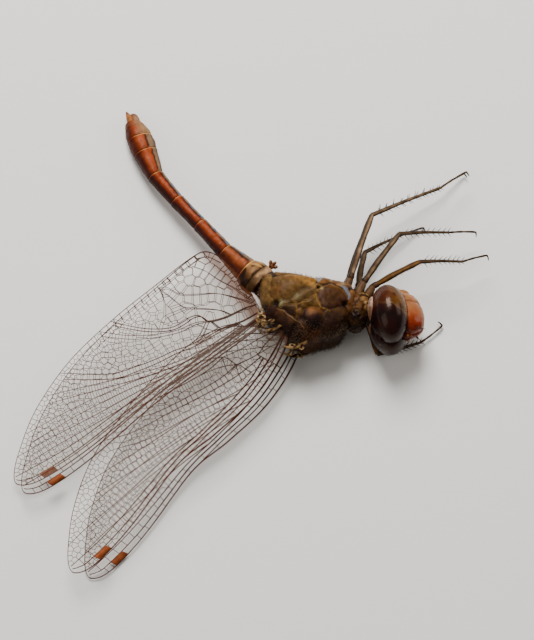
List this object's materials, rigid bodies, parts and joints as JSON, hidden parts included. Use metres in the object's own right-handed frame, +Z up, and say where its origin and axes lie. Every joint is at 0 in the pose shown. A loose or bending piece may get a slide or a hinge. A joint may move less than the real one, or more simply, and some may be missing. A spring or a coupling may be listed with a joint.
{
  "type": "dragonfly, a male darter (Sympetrum)",
  "caption": "Male red darter dragonfly lying on its right side, wings folded back, as a still life-size model.",
  "frame": {"origin": "middle of the footprint, on the floor that the animal lies on", "axes": "+X to the head's side, +Y to the belly and the legs, +Z up, towards the animal's left side"},
  "size_m": [0.0428, 0.045, 0.0066],
  "materials": {
    "compound_eye": "glossy dark maroon eye with an olive-brown lower band",
    "face_shell": "glossy orange-red shell",
    "thorax_shell": "satin olive-brown shell with dark seams and short hair",
    "abdomen_shell": "satin orange-red shell with pale joint rings",
    "leg_shell": "satin dark brown shell with a pale stripe",
    "dark_shell": "glossy dark brown shell",
    "membrane": "matt dusty membrane",
    "wing_membrane": "clear glossy membrane with brown veins"
  },
  "bodies": {
    "root": {"head": "thorax_shell", "eye_left": "compound_eye", "eye_right": "compound_eye", "frons": "face_shell", "clypeus": "face_shell", "labrum": "dark_shell", "labium": "dark_shell", "vertex": "face_shell", "antenna_left": "leg_shell", "antenna_right": "leg_shell", "neck": "membrane", "prothorax": "thorax_shell", "thorax": "thorax_shell", "abdomen_01": "abdomen_shell", "abdomen_02": "abdomen_shell", "abdomen_03": "abdomen_shell", "abdomen_04": "abdomen_shell", "abdomen_05": "abdomen_shell", "abdomen_06": "abdomen_shell", "abdomen_07": "abdomen_shell", "abdomen_08": "abdomen_shell", "abdomen_09": "abdomen_shell", "abdomen_10": "abdomen_shell", "cercus_left": "dark_shell", "cercus_right": "dark_shell", "epiproct": "dark_shell", "hamules": "dark_shell", "wing_fore_left": "wing_membrane", "wing_fore_right": "wing_membrane", "wing_hind_left": "wing_membrane", "wing_hind_right": "wing_membrane", "leg_fore_left_coxa": "leg_shell", "leg_fore_left_femur": "leg_shell", "leg_fore_left_tibia": "leg_shell", "leg_fore_left_tarsus": "leg_shell", "leg_fore_right_coxa": "leg_shell", "leg_fore_right_femur": "leg_shell", "leg_fore_right_tibia": "leg_shell", "leg_fore_right_tarsus": "leg_shell", "leg_mid_left_coxa": "leg_shell", "leg_mid_left_femur": "leg_shell", "leg_mid_left_tibia": "leg_shell", "leg_mid_left_tarsus": "leg_shell", "leg_mid_right_coxa": "leg_shell", "leg_mid_right_femur": "leg_shell", "leg_mid_right_tibia": "leg_shell", "leg_mid_right_tarsus": "leg_shell", "leg_hind_left_coxa": "leg_shell", "leg_hind_left_femur": "leg_shell", "leg_hind_left_tibia": "leg_shell", "leg_hind_left_tarsus": "leg_shell", "leg_hind_right_coxa": "leg_shell", "leg_hind_right_femur": "leg_shell", "leg_hind_right_tibia": "leg_shell", "leg_hind_right_tarsus": "leg_shell"}
  },
  "joints": []
}
